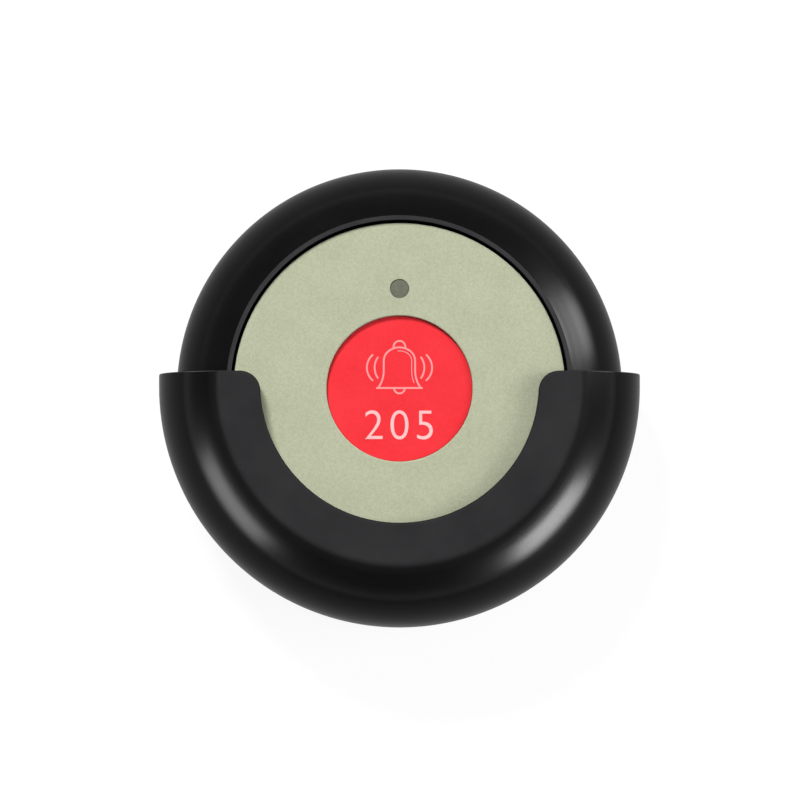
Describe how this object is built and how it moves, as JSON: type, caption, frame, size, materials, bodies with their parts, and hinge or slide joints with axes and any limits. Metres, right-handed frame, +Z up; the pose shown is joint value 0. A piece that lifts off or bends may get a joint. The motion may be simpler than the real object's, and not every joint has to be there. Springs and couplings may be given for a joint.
{
  "type": "waiter call button",
  "caption": "Round wireless table call button with one large key, lying in an open crescent cradle that it slides out of.",
  "frame": {"origin": "on the cradle's underside, at the centre of its round wall", "axes": "+Z up through the key, +Y towards the cradle's open side, where the puck slides out, +X to the right"},
  "size_m": [0.0648, 0.0618, 0.0213],
  "materials": {
    "holder_black": "satin",
    "case_black": "satin",
    "plate_champagne": "satin",
    "key_red": "satin",
    "window_grey": "satin",
    "seal_rubber": "matte",
    "pad_foam": "matte",
    "screw_steel": "satin",
    "contact_steel": "satin",
    "board_green": "satin",
    "part_black": "matte",
    "antenna_copper": "satin",
    "led_lens": "gloss",
    "part_ceramic": "satin",
    "battery_metal": "satin",
    "battery_jacket": "gloss"
  },
  "bodies": {
    "holder": {"holder_cradle": "holder_black", "adhesive_pad": "pad_foam"},
    "puck": {"top_shell": "case_black", "bottom_shell": "case_black", "case_seal": "seal_rubber", "case_screws": "screw_steel", "face_plate": "plate_champagne", "led_window": "window_grey", "battery_door": "case_black", "door_screw": "screw_steel", "circuit_board": "board_green", "board_screws": "screw_steel", "switch_base": "part_black", "switch_cover": "contact_steel", "switch_pins": "contact_steel", "status_led": "led_lens", "led_leads": "contact_steel", "encoder_chip": "part_black", "chip_legs": "contact_steel", "resonator_can": "contact_steel", "loop_antenna": "antenna_copper", "transistor": "part_black", "chip_capacitors": "part_ceramic", "chip_resistors": "part_black", "battery_can": "battery_metal", "battery_cap": "battery_metal", "battery_sleeve": "battery_jacket", "flat_contact": "contact_steel", "spring_contact": "contact_steel"},
    "key": {"call_key": "key_red", "switch_plunger": "part_black"}
  },
  "joints": [
    {"name": "puck_slide", "type": "slide", "parent": "holder", "child": "puck", "axis": [0, 1, 0], "range_m": [0, 0.034]},
    {"name": "key_press", "type": "slide", "parent": "puck", "child": "key", "axis": [0, 0, -1], "range_m": [0, 0.00045], "stiffness_N_per_m": 450, "springref_m": -0.001}
  ]
}
